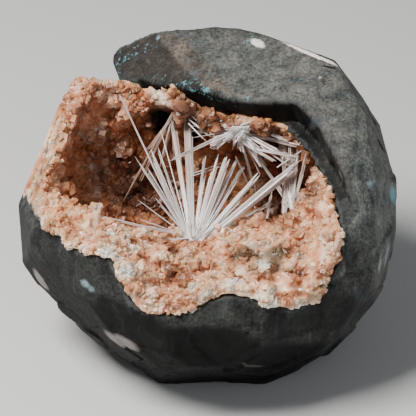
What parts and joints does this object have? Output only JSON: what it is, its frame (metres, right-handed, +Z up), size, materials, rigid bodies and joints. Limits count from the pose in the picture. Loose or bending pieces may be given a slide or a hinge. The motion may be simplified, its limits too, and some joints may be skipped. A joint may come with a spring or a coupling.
{
  "type": "geode half",
  "caption": "Rounded dark basalt nodule, ground in flat facets and broken open on a hollow with a peach zeolite crust and fans of slim white needles; rests on its flat base as a display piece",
  "frame": {"origin": "centre of the bounding box's bottom, on the plane of the flat ground facet that the stone stands on", "axes": "+Z up; the hollow opens towards -Y and upwards; +X to the right, seen from the front"},
  "size_m": [0.115, 0.105, 0.0848],
  "materials": {
    "basalt": "ground, dull, dark grey-green",
    "peach_zeolite": "glassy small crystals, slightly translucent",
    "white_needles": "silky glassy needles, slightly translucent"
  },
  "bodies": {
    "root": {"basalt_matrix": "basalt", "zeolite_crust": "peach_zeolite", "needle_spray_centre": "white_needles", "needle_spray_roof": "white_needles", "needle_spray_left": "white_needles", "needle_spray_right": "white_needles"}
  },
  "joints": []
}
